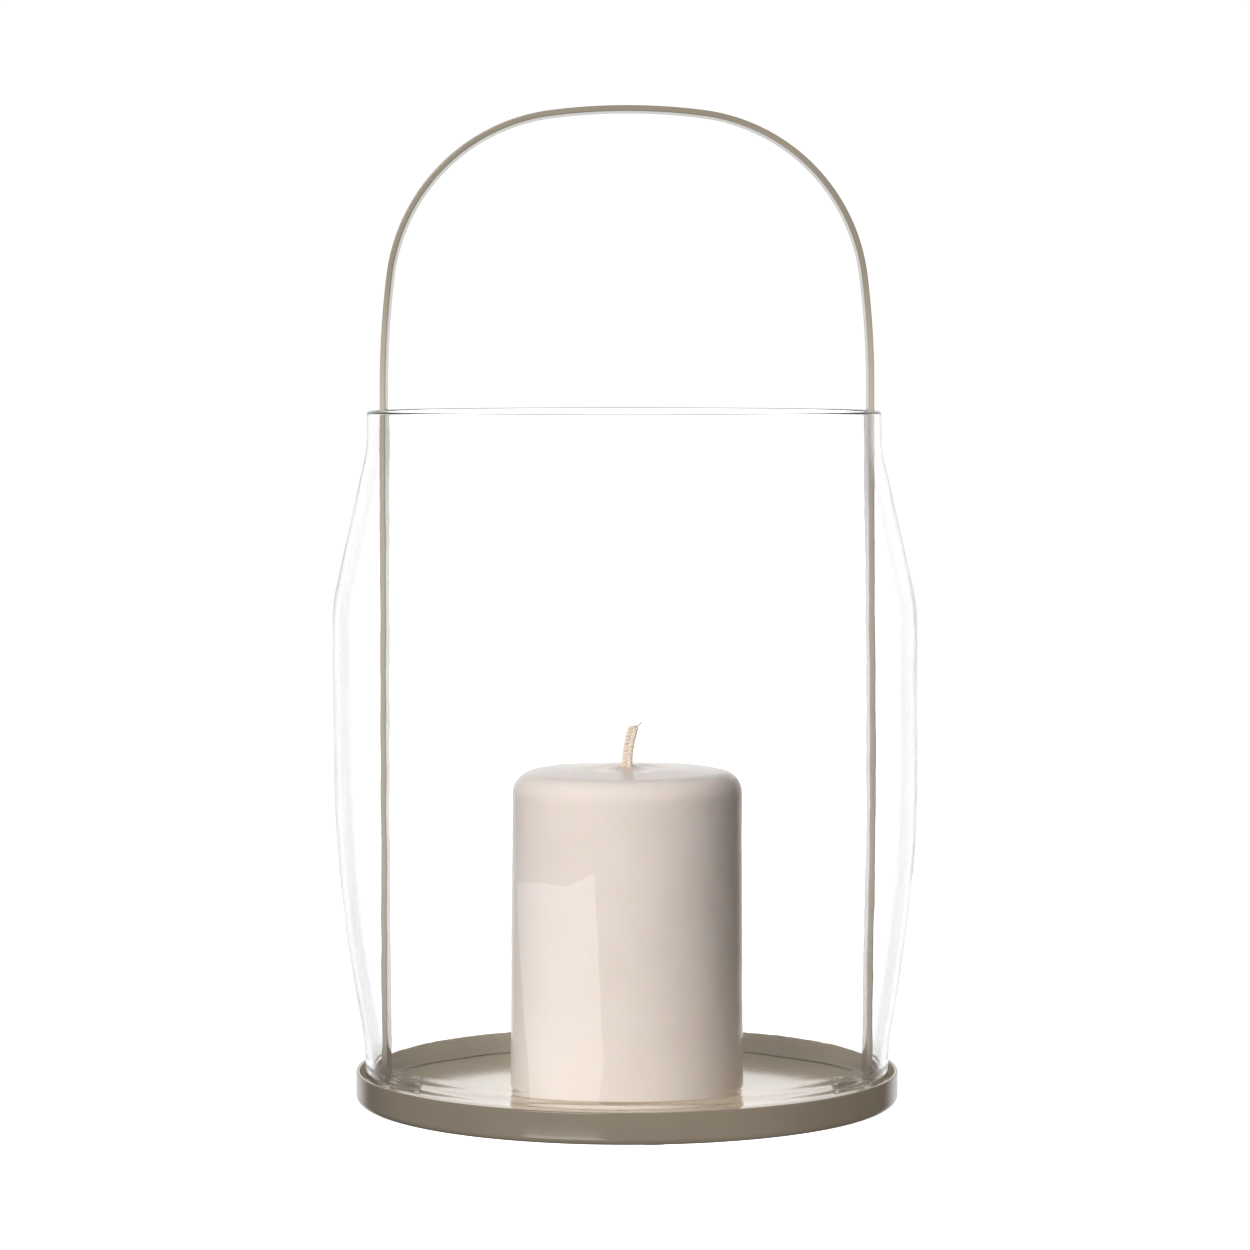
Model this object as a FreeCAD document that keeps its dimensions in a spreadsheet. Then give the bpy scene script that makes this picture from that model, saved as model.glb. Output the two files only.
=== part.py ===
import FreeCAD, Part
import math
import os

import Sketcher

# Hurricane candle lantern: a powder-coated tray, a flat-band handle screwed to its floor, a loose
# bottomless barrel glass round the handle's legs, and a pillar candle.
# Millimetres, +Z up, origin on the table under the centre of the tray. The handle lies in the
# XZ plane and the front of the lantern faces -Y.

DIMENSIONS = [
    # The tray, a lathe shape of one sheet thickness, whose floor stands above its foot ring.
    ("ring_under", 1.2),
    ("sheet", 1.2),
    ("tray_radius", 81.7),
    ("lip_height", 10.8),
    ("floor_height", 4.5),
    ("floor_radius", 78.9),
    ("tray_corner", 2.4),
    ("tray_inner_corner", 0.8),
    ("ring_corner", 0.6),
    ("lip_round", 0.55),
    # The handle, one flat band bent from foot tab to foot tab.
    ("band_width", 16.0),
    ("band_thickness", 1.7),
    ("band_edge", 0.4),
    ("tab_end", 62.3),
    ("tab_bend", 2.85),
    ("leg_centre", 72.75),
    ("arch_spring", 215.0),
    ("arch_top", 299.4),
    ("arch_side_radius", 275.0),
    ("arch_corner_radius", 55.5),
    ("arch_crown_radius", 178.5),
    # The screws that come up through the floor into the foot tabs.
    ("screw_place", 66.0),
    ("screw_radius", 1.5),
    ("screw_head_radius", 3.25),
    ("screw_head_height", 1.6),
    ("screw_tip_depth", 0.6),
    ("screw_socket_radius", 1.15),
    ("screw_socket_depth", 0.9),
    ("screw_hole_radius", 1.7),
    # The round pads stuck in the recess under the floor.
    ("pad_radius", 8.0),
    ("pad_place", 66.0),
    ("pad_round", 0.5),
    ("pad_first_angle", -84.0),
    # The glass, by its outer outline; heights are above its own foot.
    ("glass_wall", 2.1),
    ("glass_foot_radius", 78.8),
    ("glass_flare_height", 13.1),
    ("glass_belly_radius", 87.65),
    ("glass_belly_height", 63.0),
    ("glass_shoulder_height", 146.2),
    ("glass_neck_height", 193.0),
    ("glass_rim_radius", 76.9),
    ("glass_height", 204.3),
    ("glass_flare_round", 80.0),
    ("glass_belly_round", 430.0),
    ("glass_shoulder_round", 50.0),
    ("glass_neck_round", 30.0),
    ("glass_edge_round", 0.9),
    # The candle and what is in it; heights are above the candle's own foot.
    ("candle_set_back", -2.5),
    ("candle_foot_radius", 35.1),
    ("candle_top_radius", 34.4),
    ("candle_shoulder_height", 96.1),
    ("candle_height", 97.7),
    ("candle_shoulder_round", 6.5),
    ("candle_foot_round", 3.5),
    ("wick_radius", 1.25),
    ("wick_bend_radius", 45.0),
    ("wick_lean_angle", 16.0),
    ("sustainer_radius", 7.75),
    ("sustainer_sheet", 0.4),
    ("sustainer_neck_radius", 2.0),
    ("sustainer_neck_height", 5.0),
]

SHEET_NAME = "Sizes"
PAD_NAMES = ["base_pad_front", "base_pad_rear_right", "base_pad_rear_left"]
SIDES = {"right": 1, "left": -1}
SAME = 1e-4
CUT_MARGIN = 1.0

doc = FreeCAD.newDocument("hurricane_candle_lantern")


class Size:
    """A length as a number and as the spreadsheet expression that gives it."""

    def __init__(self, value, text):
        self.value = value
        self.text = text

    def __add__(self, other):
        other = as_size(other)
        return Size(self.value + other.value, f"({self.text} + {other.text})")

    def __sub__(self, other):
        other = as_size(other)
        return Size(self.value - other.value, f"({self.text} - {other.text})")

    def __mul__(self, factor):
        return Size(self.value * factor, f"({self.text} * {factor})")


def as_size(number):
    return number if isinstance(number, Size) else Size(float(number), str(number))


def make_sheet():
    """Put every driving dimension in the spreadsheet and return them as Sizes."""
    sheet = doc.addObject("Spreadsheet::Sheet", SHEET_NAME)
    sizes = {}
    for row, (alias, value) in enumerate(DIMENSIONS, start=1):
        sheet.set(f"A{row}", alias)
        sheet.set(f"B{row}", str(value))
        sheet.setAlias(f"B{row}", alias)
        sizes[alias] = Size(value, f"{SHEET_NAME}.{alias}")
    doc.recompute()
    return sizes


S = make_sheet()


# ---------------------------------------------------------------- helpers

def new_body(label, z=None, y=None, x=None):
    """A sub-part whose Placement is bound to the sheet."""
    body = doc.addObject("PartDesign::Body", label)
    body.Label = label
    for axis, shift in (("x", x), ("y", y), ("z", z)):
        if shift is not None:
            body.setExpression(f"Placement.Base.{axis}", shift.text)
    return body


def origin_plane(body, role):
    return next(item for item in body.Origin.OriginFeatures if item.Role == role)


def new_sketch(body, name, role):
    sketch = body.newObject("Sketcher::SketchObject", name)
    sketch.AttachmentSupport = [(origin_plane(body, role), "")]
    sketch.MapMode = "FlatFace"
    return sketch


def bind(sketch, constraint, size):
    """Add a dimensional constraint and let the sheet drive it."""
    index = sketch.addConstraint(constraint)
    sketch.setExpression(f"Constraints[{index}]", size.text)


def pin_point(sketch, geometry, end, x, y):
    """Fix one end of a geometry at (x, y); a zero lies on the axis itself."""
    if x == 0:
        sketch.addConstraint(Sketcher.Constraint("PointOnObject", geometry, end, -2))
    else:
        bind(sketch, Sketcher.Constraint("DistanceX", -1, 1, geometry, end, x.value), x)
    if y == 0:
        sketch.addConstraint(Sketcher.Constraint("PointOnObject", geometry, end, -1))
    else:
        bind(sketch, Sketcher.Constraint("DistanceY", -1, 1, geometry, end, y.value), y)


def add_outline(sketch, corners):
    """A closed outline of straight lines through the corners."""
    points = [FreeCAD.Vector(as_size(x).value, as_size(y).value, 0) for x, y in corners]
    count = len(points)
    for index in range(count):
        sketch.addGeometry(Part.LineSegment(points[index], points[(index + 1) % count]))
    for index in range(count):
        sketch.addConstraint(Sketcher.Constraint("Coincident", index, 2, (index + 1) % count, 1))
    for index, (x, y) in enumerate(corners):
        pin_point(sketch, index, 1, x, y)


def add_circle(sketch, x, y, radius):
    """A circle whose centre and radius come from the sheet; x and y are signed Sizes or 0."""
    centre = FreeCAD.Vector(as_size(x).value, as_size(y).value, 0)
    circle = sketch.addGeometry(Part.Circle(centre, FreeCAD.Vector(0, 0, 1), radius.value))
    pin_point(sketch, circle, 3, x, y)
    bind(sketch, Sketcher.Constraint("Radius", circle, radius.value), radius)


def lathe(body, corners):
    """Turn a half section about the body's Z axis."""
    sketch = new_sketch(body, f"{body.Label}_section", "XZ_Plane")
    add_outline(sketch, corners)
    turned = body.newObject("PartDesign::Revolution", f"{body.Label}_turned")
    turned.Profile = sketch
    turned.ReferenceAxis = (sketch, ["V_Axis"])
    turned.Angle = 360
    body.Tip = turned
    doc.recompute()


def ring_edges(shape, radius, height):
    """Names of the circular edges about Z with this radius at this height."""
    found = []
    for number, edge in enumerate(shape.Edges, start=1):
        if not isinstance(edge.Curve, Part.Circle):
            continue
        same_radius = abs(edge.Curve.Radius - radius.value) < SAME
        if same_radius and abs(edge.Curve.Center.z - as_size(height).value) < SAME:
            found.append(f"Edge{number}")
    return found


def round_rings(body, name, radius, rings):
    """Fillet the circular edges named by their (radius, height)."""
    base = body.Tip
    names = [edge for place in rings for edge in ring_edges(base.Shape, *place)]
    if len(names) != len(rings):
        raise RuntimeError(f"{body.Label}: {name} found {len(names)} of {len(rings)} edges")
    fillet = body.newObject("PartDesign::Fillet", f"{body.Label}_{name}")
    fillet.Base = (base, names)
    fillet.setExpression("Radius", radius.text)
    body.Tip = fillet
    doc.recompute()


def cut_upwards(body, name, depth, draw):
    """Pocket from the body's XY plane up to depth; draw fills the sketch."""
    before = body.Tip.Shape.Volume
    sketch = new_sketch(body, f"{body.Label}_{name}_sketch", "XY_Plane")
    draw(sketch)
    pocket = body.newObject("PartDesign::Pocket", f"{body.Label}_{name}")
    pocket.Profile = sketch
    pocket.Type = 0
    pocket.Reversed = True
    pocket.setExpression("Length", depth.text)
    body.Tip = pocket
    doc.recompute()
    if pocket.Shape.Volume > before - SAME:
        raise RuntimeError(f"{body.Label}: {name} removes nothing")


def arc(centre, radius, start, end):
    circle = Part.Circle(FreeCAD.Vector(*centre, 0), FreeCAD.Vector(0, 0, 1), radius)
    return Part.ArcOfCircle(circle, start, end)


# ---------------------------------------------------------------- tray

floor_under = S["floor_height"] - S["sheet"]


def draw_screw_holes(radius):
    def draw(sketch):
        for side in SIDES.values():
            add_circle(sketch, S["screw_place"] * side, 0, radius)
    return draw


def make_tray():
    """A wall with a rounded lip, a foot ring, and a floor raised above the ring."""
    body = new_body("tray")
    outer = S["tray_radius"]
    inner = outer - S["sheet"]
    ring_inner = S["floor_radius"] - S["sheet"]
    ring_top = S["ring_under"] + S["sheet"]
    lathe(body, [
        (0, floor_under),
        (ring_inner, floor_under),
        (ring_inner, S["ring_under"]),
        (outer, S["ring_under"]),
        (outer, S["lip_height"]),
        (inner, S["lip_height"]),
        (inner, ring_top),
        (S["floor_radius"], ring_top),
        (S["floor_radius"], S["floor_height"]),
        (0, S["floor_height"]),
    ])
    round_rings(body, "corner", S["tray_corner"], [(outer, S["ring_under"])])
    round_rings(body, "lip", S["lip_round"], [(outer, S["lip_height"]), (inner, S["lip_height"])])
    round_rings(body, "channel", S["tray_inner_corner"], [(inner, ring_top)])
    round_rings(body, "ring", S["ring_corner"], [
        (ring_inner, S["ring_under"]),
        (S["floor_radius"], S["floor_height"]),
    ])
    cut_upwards(body, "screw_holes", S["floor_height"] + CUT_MARGIN,
                draw_screw_holes(S["screw_hole_radius"]))


# ---------------------------------------------------------------- handle

tab_middle = S["floor_height"] + S["band_thickness"] * 0.5


def add_arch_path(sketch):
    """Half of the band's centreline: foot tab, bend, leg, and three tangent arcs to the crown."""
    leg_x = S["leg_centre"].value
    bend = S["tab_bend"].value
    tab_z = tab_middle.value
    spring_z = S["arch_spring"].value
    side, corner = S["arch_side_radius"].value, S["arch_corner_radius"].value
    crown = S["arch_crown_radius"].value
    crown_top = S["arch_top"] - S["band_thickness"] * 0.5

    # The corner arc touches the side arc and the crown arc from inside, so its centre lies
    # (side - corner) from one of their centres and (crown - corner) from the other.
    side_x, side_z = leg_x - side, spring_z
    crown_z = crown_top.value - crown
    gap = math.hypot(side_x, crown_z - side_z)
    near, far = side - corner, crown - corner
    along = (near ** 2 - far ** 2 + gap ** 2) / (2 * gap)
    across = math.sqrt(near ** 2 - along ** 2)
    step_x, step_z = -side_x / gap, (crown_z - side_z) / gap
    corner_x = side_x + along * step_x - across * step_z
    corner_z = side_z + along * step_z + across * step_x
    side_end = math.atan2(corner_z - side_z, corner_x - side_x)
    corner_end = math.atan2(corner_z - crown_z, corner_x)

    lines = [
        Part.LineSegment(FreeCAD.Vector(S["tab_end"].value, tab_z, 0),
                         FreeCAD.Vector(leg_x - bend, tab_z, 0)),
        arc((leg_x - bend, tab_z + bend), bend, -math.pi / 2, 0),
        Part.LineSegment(FreeCAD.Vector(leg_x, tab_z + bend, 0),
                         FreeCAD.Vector(leg_x, spring_z, 0)),
        arc((side_x, side_z), side, 0, side_end),
        arc((corner_x, corner_z), corner, side_end, corner_end),
        arc((0, crown_z), crown, corner_end, math.pi / 2),
    ]
    tab, bend_arc, leg, side_arc, corner_arc, crown_arc = sketch.addGeometry(lines)
    for first, second in zip(range(tab, crown_arc), range(bend_arc, crown_arc + 1)):
        sketch.addConstraint(Sketcher.Constraint("Tangent", first, 2, second, 1))
    sketch.addConstraint(Sketcher.Constraint("Horizontal", tab))
    sketch.addConstraint(Sketcher.Constraint("Vertical", leg))
    pin_point(sketch, tab, 1, S["tab_end"], tab_middle)
    pin_point(sketch, leg, 2, S["leg_centre"], S["arch_spring"])
    pin_point(sketch, crown_arc, 2, 0, crown_top)
    sketch.addConstraint(Sketcher.Constraint("PointOnObject", crown_arc, 3, -2))
    for bow, alias in ((bend_arc, "tab_bend"), (side_arc, "arch_side_radius"),
                       (corner_arc, "arch_corner_radius")):
        bind(sketch, Sketcher.Constraint("Radius", bow, S[alias].value), S[alias])


def add_band_section(sketch):
    """The band's cross section, a rectangle; its long edges are rounded afterwards."""
    half_width = S["band_width"] * 0.5
    top = S["floor_height"] + S["band_thickness"]
    add_outline(sketch, [
        (half_width * -1, S["floor_height"]),
        (half_width, S["floor_height"]),
        (half_width, top),
        (half_width * -1, top),
    ])


def long_edges(shape):
    """Names of the edges that run along the band at its two sides."""
    half_width = S["band_width"].value / 2
    found = []
    for number, edge in enumerate(shape.Edges, start=1):
        box = edge.BoundBox
        if box.YLength < SAME and abs(abs(box.YMin) - half_width) < SAME:
            if edge.Length > S["band_thickness"].value + SAME:
                found.append(f"Edge{number}")
    return found


def make_handle():
    body = new_body("handle_band")
    path = new_sketch(body, "band_path", "XZ_Plane")
    add_arch_path(path)
    section = new_sketch(body, "band_section", "YZ_Plane")
    section.setExpression("AttachmentOffset.Base.z", S["tab_end"].text)
    add_band_section(section)
    doc.recompute()

    half = body.newObject("PartDesign::AdditivePipe", "half_band")
    half.Profile = section
    half.Spine = (path, [])
    body.Tip = half
    doc.recompute()

    both = body.newObject("PartDesign::Mirrored", "both_halves")
    both.Originals = [half]
    both.MirrorPlane = (origin_plane(body, "YZ_Plane"), [""])
    body.Tip = both
    doc.recompute()
    if abs(both.Shape.Volume - 2 * half.Shape.Volume) > SAME * half.Shape.Volume:
        raise RuntimeError("the handle's second half is missing")

    rounded = body.newObject("PartDesign::Fillet", "band_edges")
    rounded.Base = (both, long_edges(both.Shape))
    rounded.setExpression("Radius", S["band_edge"].text)
    body.Tip = rounded
    doc.recompute()

    tab_top = S["floor_height"] + S["band_thickness"]
    cut_upwards(body, "screw_holes", tab_top + CUT_MARGIN, draw_screw_holes(S["screw_radius"]))


# ---------------------------------------------------------------- screws

def draw_socket(sketch):
    """A hexagon with two corners on the X axis."""
    reach = S["screw_socket_radius"]
    rise = math.sin(math.radians(60))
    add_outline(sketch, [
        (reach, 0),
        (reach * 0.5, reach * rise),
        (reach * -0.5, reach * rise),
        (reach * -1, 0),
        (reach * -0.5, reach * -rise),
        (reach * 0.5, reach * -rise),
    ])


def make_screw(side_name, side):
    """A low-head socket screw, head down under the floor, its tip short of the tab's top."""
    body = new_body(f"foot_screw_{side_name}", x=S["screw_place"] * side,
                    z=floor_under - S["screw_head_height"])
    head = S["screw_head_height"]
    tip = head + S["sheet"] + S["band_thickness"] - S["screw_tip_depth"]
    lathe(body, [
        (0, 0),
        (S["screw_head_radius"], 0),
        (S["screw_head_radius"], head),
        (S["screw_radius"], head),
        (S["screw_radius"], tip),
        (0, tip),
    ])
    cut_upwards(body, "socket", S["screw_socket_depth"], draw_socket)


# ---------------------------------------------------------------- pads

def make_pad(label, index):
    """A rubber pad under the floor, one third of a turn from the next."""
    angle = f"({S['pad_first_angle'].text} + {120 * index}) * 1deg"
    body = new_body(label)
    body.setExpression("Placement.Base.x", f"{S['pad_place'].text} * cos({angle})")
    body.setExpression("Placement.Base.y", f"{S['pad_place'].text} * sin({angle})")
    sketch = new_sketch(body, f"{label}_outline", "XY_Plane")
    add_circle(sketch, 0, 0, S["pad_radius"])
    slab = body.newObject("PartDesign::Pad", f"{label}_slab")
    slab.Profile = sketch
    slab.setExpression("Length", floor_under.text)
    body.Tip = slab
    doc.recompute()
    round_rings(body, "edge", S["pad_round"], [(S["pad_radius"], 0)])


# ---------------------------------------------------------------- glass

def make_glass():
    """An open tube blown to a barrel: a straight foot, a belly, a shoulder and a straight neck."""
    body = new_body("glass_shade", z=S["floor_height"])
    outer = [
        (S["glass_foot_radius"], 0),
        (S["glass_foot_radius"], S["glass_flare_height"]),
        (S["glass_belly_radius"], S["glass_belly_height"]),
        (S["glass_belly_radius"], S["glass_shoulder_height"]),
        (S["glass_rim_radius"], S["glass_neck_height"]),
        (S["glass_rim_radius"], S["glass_height"]),
    ]
    inner = [(radius - S["glass_wall"], height) for radius, height in outer]
    lathe(body, outer + inner[::-1])
    # Each bend is rounded on both faces about one centre, so the inner radius differs by the wall.
    wall = S["glass_wall"]
    bends = [
        ("shoulder", S["glass_shoulder_round"], 3, -1),
        ("neck", S["glass_neck_round"], 4, 1),
        ("flare", S["glass_flare_round"], 1, 1),
        ("belly", S["glass_belly_round"], 2, -1),
    ]
    for name, radius, corner, sign in bends:
        round_rings(body, f"{name}_outside", radius, [outer[corner]])
        round_rings(body, f"{name}_inside", radius + wall * sign, [inner[corner]])
    round_rings(body, "edges", S["glass_edge_round"], [outer[0], inner[0], outer[5], inner[5]])


# ---------------------------------------------------------------- candle

def candle_part(label):
    return new_body(label, y=S["candle_set_back"], z=S["floor_height"])


def make_candle_body():
    """Wax with a hole for the wick, and a seat for the sustainer in its underside."""
    body = candle_part("candle_body")
    lathe(body, [
        (S["sustainer_radius"], 0),
        (S["candle_foot_radius"], 0),
        (S["candle_top_radius"], S["candle_shoulder_height"]),
        (S["wick_radius"], S["candle_height"]),
        (S["wick_radius"], S["sustainer_neck_height"]),
        (S["sustainer_neck_radius"], S["sustainer_neck_height"]),
        (S["sustainer_neck_radius"], S["sustainer_sheet"]),
        (S["sustainer_radius"], S["sustainer_sheet"]),
    ])
    round_rings(body, "shoulder", S["candle_shoulder_round"],
                [(S["candle_top_radius"], S["candle_shoulder_height"])])
    round_rings(body, "foot", S["candle_foot_round"], [(S["candle_foot_radius"], 0)])


def make_sustainer():
    """A tinplate disc with a neck crimped round the wick."""
    body = candle_part("wick_sustainer")
    lathe(body, [
        (S["wick_radius"], 0),
        (S["sustainer_radius"], 0),
        (S["sustainer_radius"], S["sustainer_sheet"]),
        (S["sustainer_neck_radius"], S["sustainer_sheet"]),
        (S["sustainer_neck_radius"], S["sustainer_neck_height"]),
        (S["wick_radius"], S["sustainer_neck_height"]),
    ])


def make_wick():
    """A cord up the candle's axis that leans to the right above the wax."""
    body = candle_part("candle_wick")
    path = new_sketch(body, "wick_path", "XZ_Plane")
    bend_z = S["candle_height"].value
    bend = S["wick_bend_radius"].value
    lean = math.radians(S["wick_lean_angle"].value)
    stem, bow = path.addGeometry([
        Part.LineSegment(FreeCAD.Vector(0, 0, 0), FreeCAD.Vector(0, bend_z, 0)),
        arc((bend, bend_z), bend, math.pi - lean, math.pi),
    ])
    pin_point(path, stem, 1, 0, 0)
    pin_point(path, stem, 2, 0, S["candle_height"])
    path.addConstraint(Sketcher.Constraint("Tangent", stem, 2, bow, 2))
    bind(path, Sketcher.Constraint("Radius", bow, bend), S["wick_bend_radius"])
    turn = path.addConstraint(Sketcher.Constraint("Angle", bow, lean))
    path.setExpression(f"Constraints[{turn}]", f"{S['wick_lean_angle'].text} * 1deg")

    section = new_sketch(body, "wick_section", "XY_Plane")
    add_circle(section, 0, 0, S["wick_radius"])
    doc.recompute()
    cord = body.newObject("PartDesign::AdditivePipe", "wick_cord")
    cord.Profile = section
    cord.Spine = (path, [])
    body.Tip = cord


# ---------------------------------------------------------------- build, check and write

make_tray()
make_handle()
for side_name, side in SIDES.items():
    make_screw(side_name, side)
for index, label in enumerate(PAD_NAMES):
    make_pad(label, index)
make_glass()
make_candle_body()
make_sustainer()
make_wick()
doc.recompute()

for item in doc.Objects:
    if "Invalid" in item.State or "Error" in item.State:
        raise RuntimeError(f"{item.Name} failed: {item.State}")

os.makedirs("parts", exist_ok=True)
for body in doc.findObjects("PartDesign::Body"):
    shape = body.Shape
    if shape.isNull() or not shape.isValid() or len(shape.Solids) != 1:
        raise RuntimeError(f"{body.Label} is not one valid solid")
    shape.exportStep(f"parts/{body.Label}.step")
    box = shape.optimalBoundingBox()
    print(f"{body.Label:22s} {shape.Volume:10.1f} mm3  x {box.XMin:.2f}..{box.XMax:.2f}"
          f"  y {box.YMin:.2f}..{box.YMax:.2f}  z {box.ZMin:.2f}..{box.ZMax:.2f}")
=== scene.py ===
"""Hurricane candle lantern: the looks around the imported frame. Everything is in metres."""
import math
import random

import bmesh
import bpy
from mathutils import Matrix, Vector, noise


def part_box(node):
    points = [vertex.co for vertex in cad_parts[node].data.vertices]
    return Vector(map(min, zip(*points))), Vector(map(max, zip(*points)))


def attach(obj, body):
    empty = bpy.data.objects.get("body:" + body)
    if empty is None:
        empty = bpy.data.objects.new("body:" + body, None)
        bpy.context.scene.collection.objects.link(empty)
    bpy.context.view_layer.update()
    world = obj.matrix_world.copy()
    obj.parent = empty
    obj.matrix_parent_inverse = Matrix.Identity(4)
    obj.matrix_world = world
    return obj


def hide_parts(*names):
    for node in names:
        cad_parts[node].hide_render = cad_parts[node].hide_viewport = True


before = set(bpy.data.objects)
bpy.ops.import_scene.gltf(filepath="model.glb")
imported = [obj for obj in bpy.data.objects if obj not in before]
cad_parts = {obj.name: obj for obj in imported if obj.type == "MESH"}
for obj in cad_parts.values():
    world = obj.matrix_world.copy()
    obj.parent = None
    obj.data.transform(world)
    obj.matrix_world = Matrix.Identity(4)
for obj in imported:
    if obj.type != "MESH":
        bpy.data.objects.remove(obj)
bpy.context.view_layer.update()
scene = bpy.context.scene

MM = 0.001
FULL_TURN = 2 * math.pi
NO_DISTANCE = 1e-7


# ---------------------------------------------------------------- camera

CAMERA_DISTANCE = 1.338
CAMERA_HEIGHT = 0.2266
CAMERA_SIDE = -0.0006
CAMERA_TILT_DOWN = 3.51
CAMERA_LENS = 128.6
SENSOR_WIDTH = 36


def make_camera():
    """The camera that was fitted to the photo's outline; it looks along +Y."""
    camera = bpy.data.objects.new("camera", bpy.data.cameras.new("camera"))
    scene.collection.objects.link(camera)
    camera.data.sensor_width = SENSOR_WIDTH
    camera.data.lens = CAMERA_LENS
    camera.data.clip_start = 0.05
    camera.data.clip_end = 100
    camera.location = (CAMERA_SIDE, -CAMERA_DISTANCE, CAMERA_HEIGHT)
    camera.rotation_euler = (math.radians(90 - CAMERA_TILT_DOWN), 0, 0)
    scene.camera = camera


# ---------------------------------------------------------------- node helpers

def new_material(name):
    """An empty node material with a Principled shader on its output."""
    material = bpy.data.materials.new(name)
    material.use_nodes = True
    tree = material.node_tree
    return material, tree, tree.nodes["Principled BSDF"]


def add(tree, kind, **inputs):
    """A node of this kind with its input values set by name."""
    node = tree.nodes.new(kind)
    for name, value in inputs.items():
        node.inputs[name.replace("_", " ")].default_value = value
    return node


def object_point(tree):
    """The socket of the shaded point in object coordinates."""
    return tree.nodes.new("ShaderNodeTexCoord").outputs["Object"]


def noise_value(tree, scale, detail=3.0, roughness=0.5, point=None):
    """Noise from about 0.3 to 0.7, with scale cells to the metre."""
    node = add(tree, "ShaderNodeTexNoise", Scale=scale, Detail=detail, Roughness=roughness)
    tree.links.new(point or object_point(tree), node.inputs["Vector"])
    return node.outputs["Fac"]


def remap(tree, value, low, high, to_low, to_high):
    """Takes low..high to to_low..to_high, and stops at those ends."""
    node = add(tree, "ShaderNodeMapRange",
               From_Min=low, From_Max=high, To_Min=to_low, To_Max=to_high)
    tree.links.new(value, node.inputs["Value"])
    return node.outputs["Result"]


def set_socket(tree, socket, value):
    """Links a socket, or sets a colour or a number."""
    if isinstance(value, tuple):
        socket.default_value = (*value, 1)
    elif isinstance(value, (int, float)):
        socket.default_value = value
    else:
        tree.links.new(value, socket)


def mix_values(tree, factor, first, second, data_type="FLOAT"):
    """factor mixes from first to second; each is a number or a socket."""
    node = tree.nodes.new("ShaderNodeMix")
    node.data_type = data_type
    tree.links.new(factor, node.inputs["Factor"])
    set_socket(tree, node.inputs["A"], first)
    set_socket(tree, node.inputs["B"], second)
    return node.outputs["Result"]


def blend_colours(tree, factor, first, second):
    """factor mixes from first to second; each is a colour or a colour socket."""
    return mix_values(tree, factor, first, second, "RGBA")


def clouded(tree, value, tones):
    """A colour between two tones, by noise that is stretched to full contrast."""
    return blend_colours(tree, remap(tree, value, 0.35, 0.65, 0, 1), *tones)


def combine(tree, operation, first, second):
    """A sum, product or other operation of two numbers or sockets."""
    node = tree.nodes.new("ShaderNodeMath")
    node.operation = operation
    set_socket(tree, node.inputs[0], first)
    set_socket(tree, node.inputs[1], second)
    return node.outputs["Value"]


def bump(tree, shader, height, distance, strength=1.0):
    """Tilts the shader's normal by a height socket."""
    node = add(tree, "ShaderNodeBump", Strength=strength, Distance=distance)
    tree.links.new(height, node.inputs["Height"])
    tree.links.new(node.outputs["Normal"], shader.inputs["Normal"])


# ---------------------------------------------------------------- materials

TRAY_TONES = (0.206, 0.178, 0.137), (0.228, 0.197, 0.151)
# Painted light: the legs and the arch take lighter tones of the same coat than the tray does.
LEG_PAINTED_LIGHT_TONES = (0.57, 0.52, 0.45), (0.61, 0.555, 0.48)
ARCH_PAINTED_LIGHT_TONES = (0.265, 0.238, 0.192), (0.295, 0.264, 0.213)
LEGS_FROM, LEGS_FULL = 11 * MM, 20 * MM
ARCH_FROM, ARCH_FULL = 200 * MM, 250 * MM
DUST_COLOUR = (0.12, 0.1, 0.08)
DUST_WITHIN = 0.2 * MM


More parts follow.
